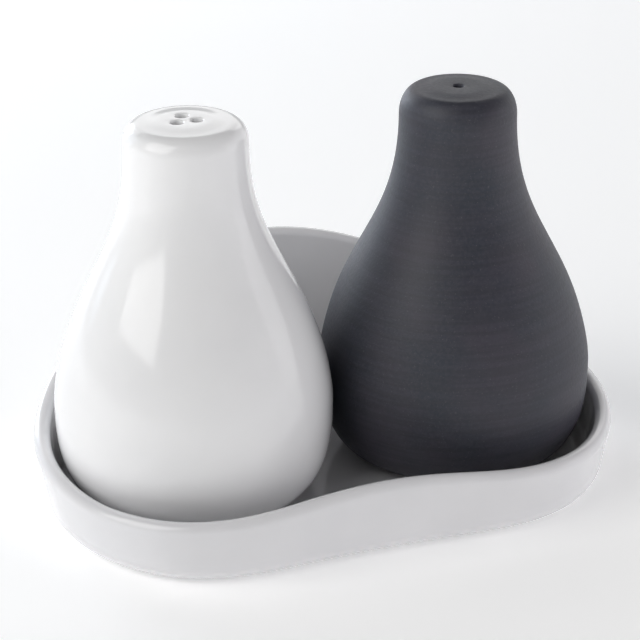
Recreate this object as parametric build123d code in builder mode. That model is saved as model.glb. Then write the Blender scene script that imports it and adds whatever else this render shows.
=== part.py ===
from build123d import *
import math
import os

# Salt and pepper set: two pear-shaped shakers standing side by side in one tray.
# Millimetres, +Z up, z = 0 is the plane the tray stands on.  X runs along the row of
# shakers (salt at -X, pepper at +X) and +Y points to the tall back of the tray.

# ---- driving dimensions: the row of shakers ----
AXIS_SPACING = 61.3          # between the two shaker axes
ROW_Y = -6.2                 # the row stands forward of the middle of the tray
SALT_X = -AXIS_SPACING / 2
PEPPER_X = AXIS_SPACING / 2

# ---- driving dimensions: tray ----
FRONT_RIM_Z = 15.3           # height of the low front rim
FRONT_SWELL = 3.5            # the front rim is this much higher at its middle ...
FRONT_SWELL_WIDTH = 26.6     # ... and the swell fades over this distance
BACK_RIM_Z = 41.6            # height of the arched back at its middle
ARCH_HALF_SPAN = 68.0        # over this the arch falls to the height of the front rim
RISE_FROM_Y = -32.2          # the rim starts to climb here ...
RISE_TO_Y = 5.6              # ... and follows the arch from here on
TRAY_WALL = 3.7
WALL_LEAN = 0.19             # outward lean of the wall for each millimetre of height
TRAY_FLOOR_Z = 4.0
OUTER_BASE_ROUND = 4.2
INNER_BASE_ROUND = 3.6
OUTER_RIM_ROUND = 1.75
INNER_RIM_ROUND = 1.6
TRAY_FOOT_INSET = 9.0        # from the outline to the shallow hollow under the tray
TRAY_FOOT_DEPTH = 0.9

# Right half of the tray's outline at the height of the front rim, as x, y and the
# outward direction in degrees, from the middle of the front to the middle of the back.
HALF_OUTLINE = (
    (0.0, -46.2, 270.0),
    (16.0, -46.7, 266.4),
    (31.0, -47.0, 274.8),
    (46.6, -42.4, 299.8),
    (58.1, -31.6, 325.3),
    (65.65, -6.3, 1.1),
    (54.8, 21.8, 43.2),
    (30.8, 36.0, 69.5),
    (0.0, 42.5, 90.0),
)

# ---- driving dimensions: shakers ----
SHAKER_HEIGHT = 86.0
SHAKER_WALL = 3.0
SHAKER_TOP_T = 3.6
TOP_CROWN = 0.4              # rise of the top face from its edge to its middle
TOP_EDGE_INSET = 3.7         # how far the rounded top edge reaches in from the neck

# Side of each shaker as radius and height above its own foot, from neck to belly.
SALT_SIDE = (
    (13.2, 81.4),
    (14.1, 69.8),
    (17.1, 60.0),
    (21.9, 50.0),
    (26.4, 40.0),
    (29.4, 30.0),
    (30.4, 21.5),
)
PEPPER_SIDE = (
    (12.8, 79.9),
    (13.6, 69.8),
    (16.3, 60.0),
    (21.1, 50.0),
    (26.0, 40.0),
    (29.2, 30.0),
    (30.4, 21.5),
)

BASE_DROP = 20.7             # height of the rounded base under the belly
BASE_TUCK = 13.0             # how far it tucks in towards the axis
BASE_FULLNESS = 2.6          # 2 is a quarter-ellipse, more is a fuller base
FOOT_OUTER_R = 18.8
FOOT_INNER_R = 15.2
BASE_RECESS = 2.4            # the underside stands this far above the foot
BASE_T = 3.2                 # thickness of the underside round the filling hole
FILL_HOLE_R = 8.5

SHAKE_HOLE_CIRCLE_R = 2.45
SALT_HOLE_R = 1.35
SALT_HOLE_COUNT = 3
PEPPER_HOLE_R = 1.1

# ---- driving dimensions: stoppers ----
PLUG_CLEARANCE = 0.05
PLUG_LENGTH = 8.0
PLUG_TIP_R = 7.5
PLUG_SKIRT_T = 2.4
PLUG_HOLLOW_DEPTH = 6.0
FLANGE_R = 12.0
FLANGE_T = 1.4
PULL_TAB_LENGTH = 9.0
PULL_TAB_WIDTH = 2.4
PULL_TAB_DROP = 0.8

os.makedirs("parts", exist_ok=True)


# ---- tray ----
def tray_outline(height, inset=0.0):
    """Points all round the tray at this height, this far inside its outer face."""
    spread = (height - FRONT_RIM_Z) * WALL_LEAN - inset
    right = [
        (
            x + spread * math.cos(math.radians(turn)),
            y + spread * math.sin(math.radians(turn)),
        )
        for x, y, turn in HALF_OUTLINE
    ]
    left = [(-x, y) for x, y in reversed(right[1:-1])]
    return right + left


def rim_height(x, y):
    """Height of the rim over a point: low in front, an arch along the back."""
    front = FRONT_RIM_Z + FRONT_SWELL * math.exp(-((x / FRONT_SWELL_WIDTH) ** 2))
    arch_rise = (BACK_RIM_Z - FRONT_RIM_Z) * math.cos(x / ARCH_HALF_SPAN * math.pi / 2)
    climb = (y - RISE_FROM_Y) / (RISE_TO_Y - RISE_FROM_Y)
    climb = min(max(climb, 0.0), 1.0)
    climb = climb**3 * (10 - 15 * climb + 6 * climb**2)
    return front + (FRONT_RIM_Z + arch_rise - front) * climb


def evenly(half_range, count):
    """Evenly spaced values from -half_range to +half_range."""
    return [half_range * (2 * index / (count - 1) - 1) for index in range(count)]


def rim_edge(part):
    """The shortest closed edge that runs all round at the trimmed rim."""
    reaches_back_rim = part.edges().filter_by(
        lambda edge: edge.bounding_box().max.Z > BACK_RIM_Z - OUTER_RIM_ROUND * 2
    )
    return reaches_back_rim.filter_by(lambda edge: edge.is_closed).sort_by(Edge.length)[0]


WALL_TOP = BACK_RIM_Z + 4.0  # the walls are made this tall and then trimmed to the rim
TRIM_HALF_X = 74.0
TRIM_HALF_Y = 56.0
TRIM_COLUMNS = 31
TRIM_ROWS = 23

# Everything above the swept rim line: a block with a curved underside.
with BuildPart() as above_rim:
    rim_points = [
        [Vector(x, y, rim_height(x, y)) for x in evenly(TRIM_HALF_X, TRIM_COLUMNS)]
        for y in evenly(TRIM_HALF_Y, TRIM_ROWS)
    ]
    rim_face = Face.make_surface_from_array_of_points(rim_points, min_deg=3)
    extrude(rim_face, amount=WALL_TOP, dir=(0, 0, 1))

# The hollow inside the tray, which leans out like the wall.
with BuildPart() as tray_hollow:
    for level in (TRAY_FLOOR_Z, WALL_TOP + 1.0):
        with BuildSketch(Plane.XY.offset(level)):
            with BuildLine():
                Spline(*tray_outline(level, TRAY_WALL), periodic=True)
            make_face()
    loft(ruled=True)
    fillet(tray_hollow.edges().group_by(Axis.Z)[0], INNER_BASE_ROUND)

with BuildPart() as tray:
    for level in (0.0, WALL_TOP):
        with BuildSketch(Plane.XY.offset(level)):
            with BuildLine():
                Spline(*tray_outline(level), periodic=True)
            make_face()
    loft(ruled=True)
    fillet(tray.edges().group_by(Axis.Z)[0], OUTER_BASE_ROUND)
    add(above_rim.part, mode=Mode.SUBTRACT)
    fillet(rim_edge(tray.part), OUTER_RIM_ROUND)
    add(tray_hollow.part, mode=Mode.SUBTRACT)
    fillet(rim_edge(tray.part), INNER_RIM_ROUND)
    with BuildSketch(Plane.XY):
        with BuildLine():
            Spline(*tray_outline(0.0, TRAY_FOOT_INSET), periodic=True)
        make_face()
    extrude(amount=TRAY_FOOT_DEPTH, mode=Mode.SUBTRACT)
tray.part.label = "tray"
export_step(tray.part, "parts/tray.step")


# ---- shaker bodies ----
def section_plane(axis_x):
    """Upright plane through a shaker's axis, with its origin at the shaker's foot."""
    return Plane(origin=(axis_x, ROW_Y, TRAY_FLOOR_Z), x_dir=(1, 0, 0), z_dir=(0, -1, 0))


def base_curve(center_r, belly_z, reach, drop, turns):
    """Points on the rounded base, from the belly at 0 degrees to the underside at 90."""
    power = 2 / BASE_FULLNESS
    return [
        (
            center_r + reach * max(math.cos(math.radians(turn)), 0.0) ** power,
            belly_z - drop * math.sin(math.radians(turn)) ** power,
        )
        for turn in turns
    ]


def shaker_body(axis_x, side, hole_r, hole_count):
    """A hollow pear on a foot ring, open at the base and pierced at the top."""
    axis = Axis((axis_x, ROW_Y, 0), (0, 0, 1))
    neck_r, neck_z = side[0]
    belly_r, belly_z = side[-1]
    top_edge_z = SHAKER_HEIGHT - TOP_CROWN
    base_r = belly_r - BASE_TUCK
    base_z = belly_z - BASE_DROP
    hollow_top_z = SHAKER_HEIGHT - SHAKER_TOP_T
    hollow_floor_z = BASE_RECESS + BASE_T
    hollow_side = [(r - SHAKER_WALL, z) for r, z in side[1:]]
    hollow_neck_r = hollow_side[0][0] - (side[1][0] - neck_r)
    hollow_drop = belly_z - hollow_floor_z
    hollow_turn = base_curve(
        base_r, belly_z, BASE_TUCK - SHAKER_WALL, hollow_drop, (30, 60, 80, 90)
    )

    # The hollow is a stack of cones: nobody sees it, and the wall stays 2.5 to 4 thick.
    with BuildPart() as hollow:
        with BuildSketch(section_plane(axis_x)):
            with BuildLine():
                Polyline(
                    (0, hollow_top_z),
                    (hollow_neck_r / 2, hollow_top_z),
                    (hollow_neck_r, hollow_top_z - hollow_neck_r / 2),
                    *hollow_side,
                    *hollow_turn,
                    (0, hollow_floor_z),
                    close=True,
                )
            make_face()
        revolve(axis=axis)

    with BuildPart() as body:
        with BuildSketch(section_plane(axis_x)):
            with BuildLine():
                Line((0, base_z), (0, SHAKER_HEIGHT))
                Spline(
                    (0, SHAKER_HEIGHT),
                    (neck_r - TOP_EDGE_INSET, top_edge_z),
                    tangents=((1, 0), (1, 0)),
                )
                EllipticalCenterArc(
                    center=(neck_r - TOP_EDGE_INSET, neck_z),
                    x_radius=TOP_EDGE_INSET,
                    y_radius=top_edge_z - neck_z,
                    start_angle=0,
                    arc_size=90,
                )
                Spline(*side, tangents=((0, -1), (0, -1)))
                Spline(
                    *base_curve(base_r, belly_z, BASE_TUCK, BASE_DROP, (0, 12, 28, 45, 62, 78, 90)),
                    tangents=((0, -1), (-1, 0)),
                )
                Line((base_r, base_z), (0, base_z))
            make_face()
            with Locations(((FOOT_OUTER_R + FOOT_INNER_R) / 2, BASE_RECESS)):
                Rectangle(FOOT_OUTER_R - FOOT_INNER_R, 2 * BASE_RECESS)
        revolve(axis=axis)
        with BuildSketch(Plane.XY.offset(TRAY_FLOOR_Z)):
            with Locations((axis_x, ROW_Y)):
                Circle(FOOT_INNER_R)
        extrude(amount=BASE_RECESS, mode=Mode.SUBTRACT)
        add(hollow.part, mode=Mode.SUBTRACT)
        with BuildSketch(Plane.XY.offset(TRAY_FLOOR_Z + BASE_RECESS)):
            with Locations((axis_x, ROW_Y)):
                Circle(FILL_HOLE_R)
        extrude(amount=BASE_T, mode=Mode.SUBTRACT)
        with BuildSketch(Plane.XY.offset(TRAY_FLOOR_Z + SHAKER_HEIGHT)):
            with Locations((axis_x, ROW_Y)):
                if hole_count == 1:
                    Circle(hole_r)
                else:
                    with PolarLocations(SHAKE_HOLE_CIRCLE_R, hole_count, start_angle=90):
                        Circle(hole_r)
        extrude(amount=-2 * SHAKER_TOP_T, mode=Mode.SUBTRACT)
    return body.part


salt_shaker_body = shaker_body(SALT_X, SALT_SIDE, SALT_HOLE_R, SALT_HOLE_COUNT)
salt_shaker_body.label = "salt_shaker_body"
export_step(salt_shaker_body, "parts/salt_shaker_body.step")

pepper_shaker_body = shaker_body(PEPPER_X, PEPPER_SIDE, PEPPER_HOLE_R, 1)
pepper_shaker_body.label = "pepper_shaker_body"
export_step(pepper_shaker_body, "parts/pepper_shaker_body.step")


# ---- stoppers ----
def stopper(axis_x):
    """A soft plug with a thin flange and a finger tab, pushed up into the base."""
    plug_r = FILL_HOLE_R - PLUG_CLEARANCE
    flange_top = BASE_RECESS
    flange_bottom = BASE_RECESS - FLANGE_T
    tip_z = flange_top + PLUG_LENGTH
    grip_z = flange_top + BASE_T
    with BuildPart() as plug:
        with BuildSketch(section_plane(axis_x)):
            with BuildLine():
                Polyline(
                    (0, flange_bottom),
                    (FLANGE_R, flange_bottom),
                    (FLANGE_R, flange_top),
                    (plug_r, flange_top),
                    (plug_r, grip_z),
                    (PLUG_TIP_R, tip_z),
                    (PLUG_TIP_R - PLUG_SKIRT_T, tip_z),
                    (PLUG_TIP_R - PLUG_SKIRT_T, tip_z - PLUG_HOLLOW_DEPTH),
                    (0, tip_z - PLUG_HOLLOW_DEPTH),
                    close=True,
                )
            make_face()
        revolve(axis=Axis((axis_x, ROW_Y, 0), (0, 0, 1)))
        with BuildSketch(Plane.XY.offset(TRAY_FLOOR_Z + flange_bottom)):
            with Locations((axis_x, ROW_Y)):
                SlotOverall(PULL_TAB_LENGTH, PULL_TAB_WIDTH)
        extrude(amount=-PULL_TAB_DROP)
    return plug.part


for name, axis_x in (("salt_stopper", SALT_X), ("pepper_stopper", PEPPER_X)):
    piece = stopper(axis_x)
    piece.label = name
    export_step(piece, f"parts/{name}.step")
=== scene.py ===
import math

import bmesh
import bpy
import numpy as np
from mathutils import Matrix, Vector


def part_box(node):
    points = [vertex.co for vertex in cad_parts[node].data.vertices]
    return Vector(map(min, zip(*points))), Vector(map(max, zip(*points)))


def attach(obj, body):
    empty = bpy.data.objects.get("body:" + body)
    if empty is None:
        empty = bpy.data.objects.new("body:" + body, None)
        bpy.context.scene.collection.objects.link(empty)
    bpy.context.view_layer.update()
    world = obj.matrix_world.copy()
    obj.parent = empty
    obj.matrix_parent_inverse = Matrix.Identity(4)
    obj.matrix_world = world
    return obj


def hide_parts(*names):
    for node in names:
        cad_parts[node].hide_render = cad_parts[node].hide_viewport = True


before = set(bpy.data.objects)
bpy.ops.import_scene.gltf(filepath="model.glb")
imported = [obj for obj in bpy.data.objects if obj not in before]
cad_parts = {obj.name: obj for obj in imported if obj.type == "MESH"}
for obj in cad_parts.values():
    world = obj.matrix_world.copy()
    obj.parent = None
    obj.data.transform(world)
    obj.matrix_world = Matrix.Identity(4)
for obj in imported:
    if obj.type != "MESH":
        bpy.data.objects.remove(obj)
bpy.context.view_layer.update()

# ---------------------------------------------------------------- sizes, in metres
MM = 0.001

SALT_LOW, SALT_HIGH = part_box("salt_shaker_body")
PEPPER_LOW, PEPPER_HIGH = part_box("pepper_shaker_body")
SALT_AXIS = (SALT_LOW + SALT_HIGH) / 2
PEPPER_AXIS = (PEPPER_LOW + PEPPER_HIGH) / 2
FOOT_Z = SALT_LOW.z
SHAKER_HEIGHT = SALT_HIGH.z - SALT_LOW.z

# Tray: outline and rim as in the CAD tray, with a rounder lower edge.
FRONT_RIM_Z = 15.3 * MM
BACK_RIM_Z = 41.6 * MM
FRONT_SWELL = 3.5 * MM
FRONT_SWELL_WIDTH = 26.6 * MM
ARCH_HALF_SPAN = 68.0 * MM
RISE_FROM_Y = -32.2 * MM
RISE_TO_Y = 5.6 * MM
TRAY_WALL = 3.7 * MM
WALL_LEAN = 0.19
TRAY_FLOOR_Z = FOOT_Z
OUTER_BASE_ROUND = 5.4 * MM
INNER_BASE_ROUND = 3.6 * MM
TRAY_FOOT_INSET = 9.0 * MM
TRAY_FOOT_DEPTH = 0.9 * MM
TRAY_FOOT_EDGE = 0.35 * MM

# Right half of the tray's outline, in millimetres, front middle to back middle.
HALF_OUTLINE = (
    (0.0, -46.2),
    (16.0, -46.7),
    (31.0, -47.0),
    (46.6, -42.4),
    (58.1, -31.6),
    (65.65, -6.3),
    (54.8, 21.8),
    (30.8, 36.0),
    (0.0, 42.5),
)

# Shakers: side as radius and height above the foot, in millimetres, neck to belly.
SALT_SIDE = (
    (13.2, 81.4),
    (14.1, 69.8),
    (17.1, 60.0),
    (21.9, 50.0),
    (26.4, 40.0),
    (29.4, 30.0),
    (30.4, 21.5),
)
PEPPER_SIDE = (
    (12.8, 79.9),
    (13.6, 69.8),
    (16.3, 60.0),
    (21.1, 50.0),
    (26.0, 40.0),
    (29.2, 30.0),
    (30.4, 21.5),
)
TOP_CROWN = 0.4 * MM
TOP_EDGE_INSET = 3.7 * MM
TOP_FLAT_R = 4.9 * MM
SHAKER_WALL = 3.0 * MM
SHAKER_TOP_T = 3.6 * MM
BASE_DROP = 20.7 * MM
BASE_TUCK = 13.0 * MM
BASE_FULLNESS = 2.6
FOOT_OUTER_R = 18.8 * MM
FOOT_INNER_R = 15.2 * MM
FOOT_EDGE_ROUND = 0.7 * MM
BASE_RECESS = 2.4 * MM
BASE_T = 3.2 * MM
FILL_HOLE_R = 8.5 * MM
SHAKE_HOLE_CIRCLE_R = 2.45 * MM
SALT_HOLE_R = 1.35 * MM
PEPPER_HOLE_R = 1.1 * MM
HOLE_EDGE_ROUND = 0.45 * MM
MOUTH_ROUND = 0.5 * MM

# Stoppers: the plug leaves the filling hole 0.05 mm of play.
FLANGE_T = 1.4 * MM
PLUG_PLAY = 0.05 * MM
PLUG_ROOT_ROUND = 0.3 * MM
PLUG_TIP_R = 7.5 * MM
PLUG_BORE_R = 5.1 * MM
PLUG_BORE_FLOOR = 2.0 * MM
STOPPER_ROUND = 0.45 * MM
TAB_HALF = Vector((4.5, 1.2)) * MM
TAB_ROUND = 0.3 * MM
TAB_SINK = 0.2 * MM

# Camera: place seen from the object, in degrees and metres.
OBJECT_MIDDLE_Z = 45.0 * MM
CAMERA_TURN, CAMERA_RISE, CAMERA_ROLL = -19.48, 24.33, -0.41
CAMERA_DISTANCE = 503.4 * MM
CAMERA_TARGET_Y = -6.2 * MM
CAMERA_SHIFT_LEFT, CAMERA_SHIFT_DOWN = 1.25 * MM, 5.0 * MM
CAMERA_LENS = 129.2

SIDES_ROUND = 144
STOPPER_SIDES = 96
TAB_SIDES = 48
HOLE_SIDES = 32
TRAY_SAMPLES = 384


# ---------------------------------------------------------------- curves
def smooth_curve(points, count, closed=False, ends=None):
    """A cubic curve with even curvature through points, sampled count times a span."""
    knots = np.array(points, float)
    if closed:
        knots = np.vstack([knots, knots[:1]])
    steps = np.linalg.norm(np.diff(knots, axis=0), axis=1)
    slopes = np.diff(knots, axis=0) / steps[:, None]
    spans = len(steps)
    size = spans if closed else spans + 1
    matrix = np.zeros((size, size))
    right = np.zeros((size, knots.shape[1]))
    for i in range(size):
        if not closed and i in (0, spans):
            matrix[i, i] = 1.0
            right[i] = ends[0] if i == 0 else ends[1]
            continue
        before, after = steps[i - 1], steps[i % spans]
        matrix[i, i] += 2 * (before + after)
        matrix[i, (i - 1) % size] += after
        matrix[i, (i + 1) % size] += before
        right[i] = 3 * (after * slopes[i - 1] + before * slopes[i % spans])
    tangents = np.linalg.solve(matrix, right)
    if closed:
        tangents = np.vstack([tangents, tangents[:1]])
    curve = []
    for i in range(spans):
        for t in np.arange(count) / count:
            curve.append(
                (2 * t**3 - 3 * t**2 + 1) * knots[i]
                + (t**3 - 2 * t**2 + t) * steps[i] * tangents[i]
                + (-2 * t**3 + 3 * t**2) * knots[i + 1]
                + (t**3 - t**2) * steps[i] * tangents[i + 1]
            )
    if not closed:
        curve.append(knots[-1])
    return np.array(curve)


def evenly_spaced(curve, count):
    """The closed curve sampled at count equal steps along its length."""
    closed = np.vstack([curve, curve[:1]])
    walked = np.concatenate([[0], np.cumsum(np.linalg.norm(np.diff(closed, axis=0), axis=1))])
    wanted = np.arange(count) / count * walked[-1]
    return np.stack([np.interp(wanted, walked, closed[:, k]) for k in (0, 1)], 1)


def arc(center, radii, start, end, steps):
    """Points on a quarter of an ellipse, or any stretch of one, angles in degrees."""
    angles = np.radians(np.linspace(start, end, steps + 1))
    return [
        (center[0] + radii[0] * math.cos(a), center[1] + radii[1] * math.sin(a))
        for a in angles
    ]


# ---------------------------------------------------------------- meshes
def new_piece(name, mesh_maker):
    """A smooth-shaded object from bmesh code, in the scene."""
    bm = bmesh.new()
    mesh_maker(bm)
    bmesh.ops.remove_doubles(bm, verts=bm.verts, dist=1e-7)
    bmesh.ops.recalc_face_normals(bm, faces=bm.faces)
    mesh = bpy.data.meshes.new(name)
    bm.to_mesh(mesh)
    bm.free()
    mesh.shade_smooth()
    piece = bpy.data.objects.new(name, mesh)
    bpy.context.scene.collection.objects.link(piece)
    return piece


def skin_loops(bm, loops):
    """Quads between neighbouring rings of vertices."""
    for lower, upper in zip(loops, loops[1:]):
        count = len(lower)
        for i in range(count):
            j = (i + 1) % count
            bm.faces.new((lower[i], lower[j], upper[j], upper[i]))


def cap_loop(bm, loop, center):
    """A fan from a ring of vertices to one middle point."""
    middle = bm.verts.new(center)
    for i, vertex in enumerate(loop):
        bm.faces.new((vertex, loop[(i + 1) % len(loop)], middle))


def ring(bm, axis, radius, height, count=SIDES_ROUND):
    """A level circle of vertices."""
    turns = (2 * math.pi * i / count for i in range(count))
    return [
        bm.verts.new(
            (axis.x + radius * math.cos(t), axis.y + radius * math.sin(t), height)
        )
        for t in turns
    ]


# ---------------------------------------------------------------- tray
def rim_height(x, y):
    """Height of the rim: low in front, an arch along the back."""
    front = FRONT_RIM_Z + FRONT_SWELL * np.exp(-((x / FRONT_SWELL_WIDTH) ** 2))
    arch_rise = (BACK_RIM_Z - FRONT_RIM_Z) * np.cos(x / ARCH_HALF_SPAN * math.pi / 2)
    climb = np.clip((y - RISE_FROM_Y) / (RISE_TO_Y - RISE_FROM_Y), 0, 1)
    climb = climb**3 * (10 - 15 * climb + 6 * climb**2)
    return front + (FRONT_RIM_Z + arch_rise - front) * climb


def tray_section(rim_z):
    """Wall section as outward offset and height, from the hollow underneath to the floor."""
    foot_x = -FRONT_RIM_Z * WALL_LEAN

    def face(z):
        return (z - FRONT_RIM_Z) * WALL_LEAN

    half_wall = TRAY_WALL / 2
    rim_center_z = rim_z - half_wall
    section = [
        (foot_x - TRAY_FOOT_INSET - TRAY_FOOT_EDGE, TRAY_FOOT_DEPTH),
        (foot_x - TRAY_FOOT_INSET, TRAY_FOOT_DEPTH - TRAY_FOOT_EDGE),
        (foot_x - TRAY_FOOT_INSET, TRAY_FOOT_EDGE),
        (foot_x - TRAY_FOOT_INSET + TRAY_FOOT_EDGE, 0.0),
    ]
    section += arc(
        (face(0) - OUTER_BASE_ROUND, OUTER_BASE_ROUND),
        (OUTER_BASE_ROUND + OUTER_BASE_ROUND * WALL_LEAN, OUTER_BASE_ROUND),
        -90,
        0,
        9,
    )
    for t in np.linspace(0, 1, 11)[1:-1]:
        z = OUTER_BASE_ROUND + (rim_center_z - OUTER_BASE_ROUND) * t
        section.append((face(z), z))
    section += arc(
        (face(rim_center_z) - half_wall, rim_center_z), (half_wall, half_wall), 0, 180, 14
    )
    inner_low = TRAY_FLOOR_Z + INNER_BASE_ROUND
    for t in np.linspace(0, 1, 11)[1:-1]:
        z = rim_center_z + (inner_low - rim_center_z) * t
        section.append((face(z) - TRAY_WALL, z))
    section += arc(
        (face(inner_low) - TRAY_WALL - INNER_BASE_ROUND, inner_low),
        (INNER_BASE_ROUND, INNER_BASE_ROUND),
        0,
        -90,
        8,
    )
    return section


def make_tray(bm):
    """Wall swept round the outline, closed by the floor and the hollow under it."""
    right = [(x * MM, y * MM) for x, y in HALF_OUTLINE]
    left = [(-x, y) for x, y in reversed(right[1:-1])]
    outline = evenly_spaced(smooth_curve(right + left, 64, closed=True), TRAY_SAMPLES)
    along = np.roll(outline, -1, axis=0) - np.roll(outline, 1, axis=0)
    along /= np.linalg.norm(along, axis=1)[:, None]
    outward = np.stack([along[:, 1], -along[:, 0]], 1)
    middle_of_wall = outline - outward * TRAY_WALL / 2
    heights = rim_height(middle_of_wall[:, 0], middle_of_wall[:, 1])
    columns = []
    for point, normal, rim_z in zip(outline, outward, heights):
        columns.append(
            [(*(point + normal * offset), z) for offset, z in tray_section(rim_z)]
        )
    loops = [[bm.verts.new(point) for point in row] for row in zip(*columns)]
    skin_loops(bm, loops)
    cap_loop(bm, loops[0], (0, 0, TRAY_FOOT_DEPTH))
    cap_loop(bm, loops[-1], (0, 0, TRAY_FLOOR_Z))


# ---------------------------------------------------------------- shaker bodies
def base_curve(center_r, belly_z, reach, drop, start, end, steps):
    """Points on the rounded base, from the belly at 0 degrees to the underside at 90."""
    power = 2 / BASE_FULLNESS
    return [
        (
            center_r + reach * max(math.cos(a), 0.0) ** power,
            belly_z - drop * math.sin(a) ** power,
        )
        for a in np.radians(np.linspace(start, end, steps + 1))
    ]


def outer_profile(side):
    """Outside of a shaker from its flat top to its foot, as radius and height."""
    neck_r, neck_z = side[0]
    belly_r, belly_z = side[-1]
    edge_z = SHAKER_HEIGHT - TOP_CROWN
    edge_r = neck_r - TOP_EDGE_INSET
    crown = []
    for t in np.linspace(0, 1, 9)[:-1]:
        ease = t * t * (3 - 2 * t)
        crown.append((TOP_FLAT_R + (edge_r - TOP_FLAT_R) * t, SHAKER_HEIGHT - TOP_CROWN * ease))
    rounded = arc((edge_r, neck_z), (TOP_EDGE_INSET, edge_z - neck_z), 90, 0, 14)
    pear = smooth_curve(side, 12, ends=((0, -1), (0, -1)))
    under = base_curve(belly_r - BASE_TUCK, belly_z, BASE_TUCK, BASE_DROP, 0, 89, 48)
    under = [point for point in under if point[0] > FOOT_OUTER_R or point[1] > BASE_RECESS]
    foot = arc(
        (FOOT_OUTER_R - FOOT_EDGE_ROUND, FOOT_EDGE_ROUND),
        (FOOT_EDGE_ROUND, FOOT_EDGE_ROUND),
        0,
        -90,
        5,
    )
    return crown + rounded[:-1] + [tuple(p) for p in pear[:-1]] + under + foot


def inner_profile(side):
    """Underside, filling hole and inside of a shaker, on to the middle of its ceiling."""
    neck_r, neck_z = side[0]
    belly_r, belly_z = side[-1]
    base_r = belly_r - BASE_TUCK
    floor_z = BASE_RECESS + BASE_T
    ceiling_z = SHAKER_HEIGHT - SHAKER_TOP_T
    foot = arc(
        (FOOT_INNER_R + FOOT_EDGE_ROUND, FOOT_EDGE_ROUND),
        (FOOT_EDGE_ROUND, FOOT_EDGE_ROUND),
        -90,
        -180,
        5,
    )
    lip = (MOUTH_ROUND, MOUTH_ROUND)
    mouth_r = FILL_HOLE_R + MOUTH_ROUND
    under = arc((FOOT_INNER_R - MOUTH_ROUND, BASE_RECESS - MOUTH_ROUND), lip, 0, 90, 4)
    mouth = arc((mouth_r, BASE_RECESS + MOUTH_ROUND), lip, -90, -180, 4)
    mouth += arc((mouth_r, floor_z - MOUTH_ROUND), lip, 180, 90, 4)
    belly = base_curve(base_r, belly_z, BASE_TUCK - SHAKER_WALL, belly_z - floor_z, 90, 0, 16)
    wall = [(r - SHAKER_WALL, z) for r, z in reversed(side[1:])]
    dome_drop = neck_r / 3
    wall.append((neck_r - SHAKER_WALL, ceiling_z - dome_drop))
    wall = smooth_curve(wall, 4, ends=((0, 1), (0, 1)))
    dome_radii = (neck_r - SHAKER_WALL - TOP_FLAT_R, dome_drop)
    top = arc((TOP_FLAT_R, ceiling_z - dome_drop), dome_radii, 0, 90, 8)
    return foot + under + mouth + belly[:-1] + [tuple(p) for p in wall[:-1]] + top


def hole_loops(bm, axis, hole_x, hole_y, hole_r, top_z):
    """Rings of one shake hole, from the flat top over its rounded edge to the inside."""
    center = Vector((axis.x + hole_x, axis.y + hole_y, 0))
    loops = []
    edge_radii = (HOLE_EDGE_ROUND, HOLE_EDGE_ROUND)
    edge = arc((hole_r + HOLE_EDGE_ROUND, -HOLE_EDGE_ROUND), edge_radii, 90, 180, 6)
    depths = [(hole_r, -SHAKER_TOP_T * t) for t in (0.3, 0.5, 0.7, 0.9)]
    for radius, depth in edge + depths + [(hole_r, -SHAKER_TOP_T)]:
        loops.append(ring(bm, center, radius, top_z + depth, HOLE_SIDES))
    skin_loops(bm, loops)
    return loops[0], loops[-1]


def fill_between(bm, outer, holes):
    """Triangles between an outer ring and the rings of the holes inside it."""
    edges = []
    for loop in [outer] + holes:
        for i, vertex in enumerate(loop):
            other = loop[(i + 1) % len(loop)]
            edges.append(bm.edges.get((vertex, other)) or bm.edges.new((vertex, other)))
    bmesh.ops.triangle_fill(bm, edges=edges, use_beauty=True, use_dissolve=False)


def shaker_maker(axis, side, hole_r, hole_places):
    """Mesh code for one shaker body."""
    metres = tuple((r * MM, z * MM) for r, z in side)

    def make(bm):
        outside = [ring(bm, axis, r, FOOT_Z + z) for r, z in outer_profile(metres)]
        inside = [ring(bm, axis, r, FOOT_Z + z) for r, z in inner_profile(metres)]
        skin_loops(bm, outside + inside)
        top_z = FOOT_Z + SHAKER_HEIGHT
        holes = [hole_loops(bm, axis, x, y, hole_r, top_z) for x, y in hole_places]
        fill_between(bm, outside[0], [top for top, _ in holes])
        fill_between(bm, inside[-1], [bottom for _, bottom in holes])

    return make


def hole_circle(count):
    """Places of the holes on their circle, the first one at the back."""
    if count == 1:
        return [(0.0, 0.0)]
    turns = (math.pi / 2 + 2 * math.pi * i / count for i in range(count))
    return [
        (SHAKE_HOLE_CIRCLE_R * math.cos(t), SHAKE_HOLE_CIRCLE_R * math.sin(t)) for t in turns
    ]


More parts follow.
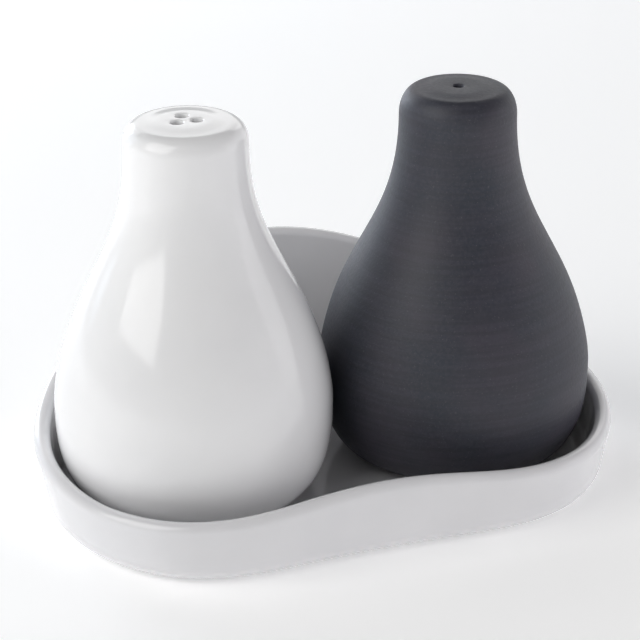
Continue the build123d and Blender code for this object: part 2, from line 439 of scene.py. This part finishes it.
# ---------------------------------------------------------------- stoppers
def stopper_maker(node):
    """Mesh code for one stopper: flange, hollow plug with soft edges and finger tab."""
    low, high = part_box(node)
    axis = (low + high) / 2
    flange_r = (high.x - low.x) / 2
    flange_top = FOOT_Z + BASE_RECESS
    flange_bottom = flange_top - FLANGE_T
    plug_r = FILL_HOLE_R - PLUG_PLAY
    bore_z = flange_top + PLUG_BORE_FLOOR
    soft = STOPPER_ROUND

    def make(bm):
        profile = arc((flange_r - soft, flange_bottom + soft), (soft, soft), -90, 0, 5)
        profile += arc((flange_r - soft, flange_top - soft), (soft, soft), 0, 90, 5)
        profile += [
            (plug_r + PLUG_ROOT_ROUND, flange_top),
            (plug_r, flange_top + PLUG_ROOT_ROUND),
            (plug_r, flange_top + BASE_T * 0.5),
            (plug_r, flange_top + BASE_T),
        ]
        profile += arc((PLUG_TIP_R - soft, high.z - soft), (soft, soft), 0, 90, 5)
        profile += arc((PLUG_BORE_R + soft, high.z - soft), (soft, soft), 90, 180, 5)
        profile += arc((PLUG_BORE_R - soft, bore_z + soft), (soft, soft), 0, -90, 5)
        loops = [ring(bm, axis, r, z, STOPPER_SIDES) for r, z in profile]
        skin_loops(bm, loops)
        cap_loop(bm, loops[0], (axis.x, axis.y, flange_bottom))
        cap_loop(bm, loops[-1], (axis.x, axis.y, bore_z))
        tab_top = flange_bottom + TAB_SINK
        tab = []
        for inset, z in ((0, tab_top), (0, low.z + TAB_ROUND), (TAB_ROUND, low.z)):
            loop = []
            for i in range(TAB_SIDES):
                t = 2 * math.pi * i / TAB_SIDES
                x = (TAB_HALF.x - TAB_HALF.y) * (1 if math.cos(t) > 0 else -1)
                r = TAB_HALF.y - inset
                place = (axis.x + x + r * math.cos(t), axis.y + r * math.sin(t), z)
                loop.append(bm.verts.new(place))
            tab.append(loop)
        skin_loops(bm, tab)
        cap_loop(bm, tab[0], (axis.x, axis.y, tab_top))
        cap_loop(bm, tab[-1], (axis.x, axis.y, low.z))

    return make


# ---------------------------------------------------------------- materials
def node_material(name):
    """A material with its node tree and its Principled shader."""
    material = bpy.data.materials.new(name)
    material.use_nodes = True
    tree = material.node_tree
    return material, tree, tree.nodes["Principled BSDF"]


def add_node(tree, kind, **values):
    """A node with its plain settings and its input values set."""
    node = tree.nodes.new(kind)
    for key, value in values.items():
        if hasattr(node, key):
            setattr(node, key, value)
        else:
            node.inputs[key.replace("_", " ").title()].default_value = value
    return node


def noise(tree, place, scale, detail=4.0, roughness=0.5):
    """Noise over the object's own coordinates, scale in features per metre."""
    node = add_node(tree, "ShaderNodeTexNoise", scale=scale, detail=detail, roughness=roughness)
    tree.links.new(place.outputs["Object"], node.inputs["Vector"])
    return node


def ramp(tree, source, low, high, low_color, high_color):
    """Colours from low_color to high_color as source goes from low to high."""
    node = add_node(tree, "ShaderNodeValToRGB")
    node.color_ramp.elements[0].position = low
    node.color_ramp.elements[0].color = (*low_color, 1)
    node.color_ramp.elements[1].position = high
    node.color_ramp.elements[1].color = (*high_color, 1)
    tree.links.new(source, node.inputs["Fac"])
    return node


def map_range(tree, source, from_low, from_high, to_low, to_high):
    """A number moved from one range to another, smoothly and clamped."""
    node = add_node(tree, "ShaderNodeMapRange", interpolation_type="SMOOTHSTEP")
    limits = (from_low, from_high, to_low, to_high)
    for socket, value in zip(("From Min", "From Max", "To Min", "To Max"), limits):
        node.inputs[socket].default_value = value
    tree.links.new(source, node.inputs["Value"])
    return node


def bump(tree, source, distance, strength=1.0, under=None):
    """Bump from a height, on top of another bump."""
    node = add_node(tree, "ShaderNodeBump", strength=strength, distance=distance)
    tree.links.new(source, node.inputs["Height"])
    if under is not None:
        tree.links.new(under.outputs["Normal"], node.inputs["Normal"])
    return node


def mix_color(tree, factor, first, second):
    """Colour mixed from first to second."""
    node = add_node(tree, "ShaderNodeMix", data_type="RGBA")
    tree.links.new(factor, node.inputs["Factor"])
    for socket, value in ((6, first), (7, second)):
        if isinstance(value, tuple):
            node.inputs[socket].default_value = (*value, 1)
        else:
            tree.links.new(value, node.inputs[socket])
    return node


def unglazed_mask(tree, place, level, blur):
    """One where the clay is bare, below this height, and zero on the glaze."""
    split = add_node(tree, "ShaderNodeSeparateXYZ")
    tree.links.new(place.outputs["Object"], split.inputs["Vector"])
    return map_range(tree, split.outputs["Z"], level - blur, level + blur, 1.0, 0.0)


def glaze_material(name, light, shade, bare_level):
    """Glossy white glaze over porcelain, with a bare foot."""
    material, tree, shader = node_material(name)
    place = add_node(tree, "ShaderNodeTexCoord")
    clouds = noise(tree, place, 45.0, 3.0)
    tint = ramp(tree, clouds.outputs["Fac"], 0.35, 0.65, shade, light)
    bare = unglazed_mask(tree, place, bare_level, 0.15 * MM)
    color = mix_color(tree, bare.outputs["Result"], tint.outputs["Color"], (0.72, 0.69, 0.64))
    tree.links.new(color.outputs[2], shader.inputs["Base Color"])
    smear = noise(tree, place, 120.0, 2.0)
    gloss = map_range(tree, smear.outputs["Fac"], 0.3, 0.7, 0.10, 0.16)
    dull = add_node(tree, "ShaderNodeMath", operation="MAXIMUM")
    bare_rough = map_range(tree, bare.outputs["Result"], 0.0, 1.0, 0.0, 0.8)
    tree.links.new(gloss.outputs["Result"], dull.inputs[0])
    tree.links.new(bare_rough.outputs["Result"], dull.inputs[1])
    tree.links.new(dull.outputs["Value"], shader.inputs["Roughness"])
    flow = noise(tree, place, 55.0, 1.0)
    peel = noise(tree, place, 1400.0, 2.0)
    waves = bump(tree, flow.outputs["Fac"], 0.12 * MM, 0.6)
    skin = bump(tree, peel.outputs["Fac"], 0.004 * MM, 0.5, waves)
    tree.links.new(skin.outputs["Normal"], shader.inputs["Normal"])
    shader.inputs["IOR"].default_value = 1.52
    shader.inputs["Coat Weight"].default_value = 0.25
    shader.inputs["Coat Roughness"].default_value = 0.1
    return material


def stoneware_material(name):
    """Matte slate-grey stoneware: fine grain, faint turning lines and pale grit."""
    material, tree, shader = node_material(name)
    place = add_node(tree, "ShaderNodeTexCoord")
    stretch = add_node(tree, "ShaderNodeMapping")
    stretch.inputs["Scale"].default_value = (0.04, 0.04, 1.0)
    tree.links.new(place.outputs["Object"], stretch.inputs["Vector"])
    lines = add_node(tree, "ShaderNodeTexNoise", scale=1100.0, detail=3.0)
    tree.links.new(stretch.outputs["Vector"], lines.inputs["Vector"])
    clouds = noise(tree, place, 55.0, 5.0)
    grain = noise(tree, place, 1300.0, 3.0, 0.6)
    grit = noise(tree, place, 2600.0, 2.0)

    tint = ramp(
        tree, clouds.outputs["Fac"], 0.38, 0.62, (0.029, 0.034, 0.048), (0.045, 0.041, 0.056)
    )
    sand = map_range(tree, grain.outputs["Fac"], 0.35, 0.65, 0.0, 0.5)
    sanded = mix_color(tree, sand.outputs["Result"], tint.outputs["Color"], (0.058, 0.058, 0.072))
    turning = map_range(tree, lines.outputs["Fac"], 0.42, 0.6, 0.0, 0.3)
    turned = mix_color(tree, turning.outputs["Result"], sanded.outputs[2], (0.026, 0.027, 0.033))
    fleck = map_range(tree, grit.outputs["Fac"], 0.66, 0.74, 0.0, 0.4)
    color = mix_color(tree, fleck.outputs["Result"], turned.outputs[2], (0.13, 0.13, 0.14))
    tree.links.new(color.outputs[2], shader.inputs["Base Color"])

    rough = map_range(tree, grain.outputs["Fac"], 0.3, 0.7, 0.47, 0.58)
    tree.links.new(rough.outputs["Result"], shader.inputs["Roughness"])
    ridges = bump(tree, lines.outputs["Fac"], 0.06 * MM, 0.6)
    pits = bump(tree, grain.outputs["Fac"], 0.10 * MM, 0.5, ridges)
    tree.links.new(pits.outputs["Normal"], shader.inputs["Normal"])
    shader.inputs["IOR"].default_value = 1.5
    return material


def silicone_material(name):
    """Milky soft silicone with a satin moulded skin."""
    material, tree, shader = node_material(name)
    place = add_node(tree, "ShaderNodeTexCoord")
    clouds = noise(tree, place, 150.0, 3.0)
    tint = ramp(
        tree, clouds.outputs["Fac"], 0.3, 0.7, (0.62, 0.62, 0.60), (0.72, 0.72, 0.70)
    )
    tree.links.new(tint.outputs["Color"], shader.inputs["Base Color"])
    satin = map_range(tree, clouds.outputs["Fac"], 0.3, 0.7, 0.38, 0.5)
    tree.links.new(satin.outputs["Result"], shader.inputs["Roughness"])
    grain = noise(tree, place, 2500.0, 2.0)
    skin = bump(tree, grain.outputs["Fac"], 0.01 * MM, 0.5)
    tree.links.new(skin.outputs["Normal"], shader.inputs["Normal"])
    shader.inputs["Subsurface Weight"].default_value = 0.3
    shader.inputs["Subsurface Radius"].default_value = (1.0, 1.0, 0.9)
    shader.inputs["Subsurface Scale"].default_value = 1.5 * MM
    return material


def floor_material(name):
    """Pale matte studio paper that glows a little, and more so far from the object."""
    material, tree, shader = node_material(name)
    place = add_node(tree, "ShaderNodeTexCoord")
    clouds = noise(tree, place, 3.0, 2.0)
    tint = ramp(tree, clouds.outputs["Fac"], 0.3, 0.7, (0.93, 0.93, 0.93), (0.95, 0.95, 0.95))
    tree.links.new(tint.outputs["Color"], shader.inputs["Base Color"])
    shader.inputs["Roughness"].default_value = 0.9
    shader.inputs["Emission Color"].default_value = (1.0, 1.0, 1.0, 1.0)
    reach = add_node(tree, "ShaderNodeVectorMath", operation="LENGTH")
    tree.links.new(place.outputs["Object"], reach.inputs[0])
    glow = map_range(tree, reach.outputs["Value"], 0.9, 2.6, 0.22, 0.6)
    tree.links.new(glow.outputs["Result"], shader.inputs["Emission Strength"])
    return material


# ---------------------------------------------------------------- the object
def add_piece(name, mesh_maker, material, body, node):
    """Make a finished piece that stands for one CAD node and rides on its body."""
    piece = new_piece(name, mesh_maker)
    piece.data.materials.append(material)
    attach(piece, body)
    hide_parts(node)


TRAY_BARE_Z = 0.15 * MM
SHAKER_BARE_Z = FOOT_Z + 0.5 * MM
WHITE, WHITE_SHADE = (0.87, 0.87, 0.875), (0.84, 0.84, 0.848)
TRAY_WHITE, TRAY_SHADE = (0.79, 0.785, 0.80), (0.75, 0.748, 0.765)
tray_glaze = glaze_material("tray_glaze", TRAY_WHITE, TRAY_SHADE, TRAY_BARE_Z)
white_glaze = glaze_material("white_glaze", WHITE, WHITE_SHADE, SHAKER_BARE_Z)
dark_stoneware = stoneware_material("dark_stoneware")
silicone = silicone_material("stopper_silicone")

add_piece("tray_glazed", make_tray, tray_glaze, "tray", "tray")
add_piece(
    "salt_shaker",
    shaker_maker(SALT_AXIS, SALT_SIDE, SALT_HOLE_R, hole_circle(3)),
    white_glaze,
    "salt_shaker",
    "salt_shaker_body",
)
add_piece(
    "pepper_shaker",
    shaker_maker(PEPPER_AXIS, PEPPER_SIDE, PEPPER_HOLE_R, hole_circle(1)),
    dark_stoneware,
    "pepper_shaker",
    "pepper_shaker_body",
)
for node in ("salt_stopper", "pepper_stopper"):
    add_piece(node + "_plug", stopper_maker(node), silicone, node, node)


# ---------------------------------------------------------------- studio
def add_floor():
    """A plain pale floor under the object."""
    bpy.ops.mesh.primitive_plane_add(size=24.0, location=(0, 0, 0))
    floor = bpy.context.object
    floor.name = "floor"
    floor.data.materials.append(floor_material("floor_paper"))


def direction(turn, rise):
    """Unit vector towards a place seen at this turn round +Z and this rise, in degrees."""
    a, e = math.radians(turn), math.radians(rise)
    return Vector((math.sin(a) * math.cos(e), -math.cos(a) * math.cos(e), math.sin(e)))


def add_area_light(name, turn, rise, distance, size, power, color=(1, 1, 1), mirrored=True):
    """A soft rectangular light that looks at the middle of the object."""
    light = bpy.data.lights.new(name, "AREA")
    light.shape = "RECTANGLE"
    light.size, light.size_y = size
    light.energy = power
    light.color = color
    lamp = bpy.data.objects.new(name, light)
    back = direction(turn, rise)
    lamp.location = Vector((0, 0, OBJECT_MIDDLE_Z)) + back * distance
    lamp.rotation_euler = back.to_track_quat("Z", "Y").to_euler()
    lamp.visible_glossy = mirrored
    bpy.context.scene.collection.objects.link(lamp)


def add_camera():
    """A long lens that looks from the left and a little above."""
    roll = math.radians(CAMERA_ROLL)
    back = direction(CAMERA_TURN, CAMERA_RISE)
    level = direction(CAMERA_TURN + 90, 0)
    upright = back.cross(level)
    target = Vector((0, CAMERA_TARGET_Y, OBJECT_MIDDLE_Z))
    target -= level * CAMERA_SHIFT_LEFT + upright * CAMERA_SHIFT_DOWN
    right = level * math.cos(roll) + upright * math.sin(roll)
    lens = bpy.data.cameras.new("camera")
    lens.sensor_width = 36.0
    lens.lens = CAMERA_LENS
    lens.clip_start = 0.01
    camera = bpy.data.objects.new("camera", lens)
    camera.location = target + back * CAMERA_DISTANCE
    camera.rotation_euler = Matrix((right, back.cross(right), back)).transposed().to_euler()
    bpy.context.scene.collection.objects.link(camera)
    bpy.context.scene.camera = camera


def add_studio():
    """Sky brightest at the horizon, a key softbox from the left, rims and fills."""
    world = bpy.data.worlds.new("studio")
    world.use_nodes = True
    tree = world.node_tree
    place = add_node(tree, "ShaderNodeTexCoord")
    split = add_node(tree, "ShaderNodeSeparateXYZ")
    tree.links.new(place.outputs["Generated"], split.inputs["Vector"])
    glow = map_range(tree, split.outputs["Z"], 0.0, 0.55, 0.46, 0.03)
    tree.links.new(glow.outputs["Result"], tree.nodes["Background"].inputs["Strength"])
    tree.nodes["Background"].inputs["Color"].default_value = (1, 1, 1, 1)
    bpy.context.scene.world = world
    add_area_light("key", -74, 38, 1.0, (0.78, 0.8), 5.2, (1.0, 0.995, 0.985))
    add_area_light("left", -108, 25, 1.0, (0.5, 0.5), 1.9, mirrored=False)
    add_area_light("rim", -165, 12, 1.0, (0.4, 0.4), 2.8, (0.83, 0.9, 1.0))
    add_area_light("rim_soft", -142, 16, 1.0, (0.5, 0.5), 0.7, (0.7, 0.85, 1.0))
    add_area_light("back", 168, 27, 1.2, (1.6, 0.6), 4.6)
    add_area_light("card", 98, 12, 1.1, (1.5, 0.9), 3.0, (0.98, 0.98, 1.0))
    add_area_light("fill", 60, 12, 1.2, (0.8, 0.4), 4.6, (0.99, 0.97, 1.0), mirrored=False)
    add_area_light("front", -12, 55, 1.2, (1.0, 0.8), 0.6, mirrored=False)


add_floor()
add_studio()
add_camera()
bpy.context.scene.view_settings.view_transform = "Standard"
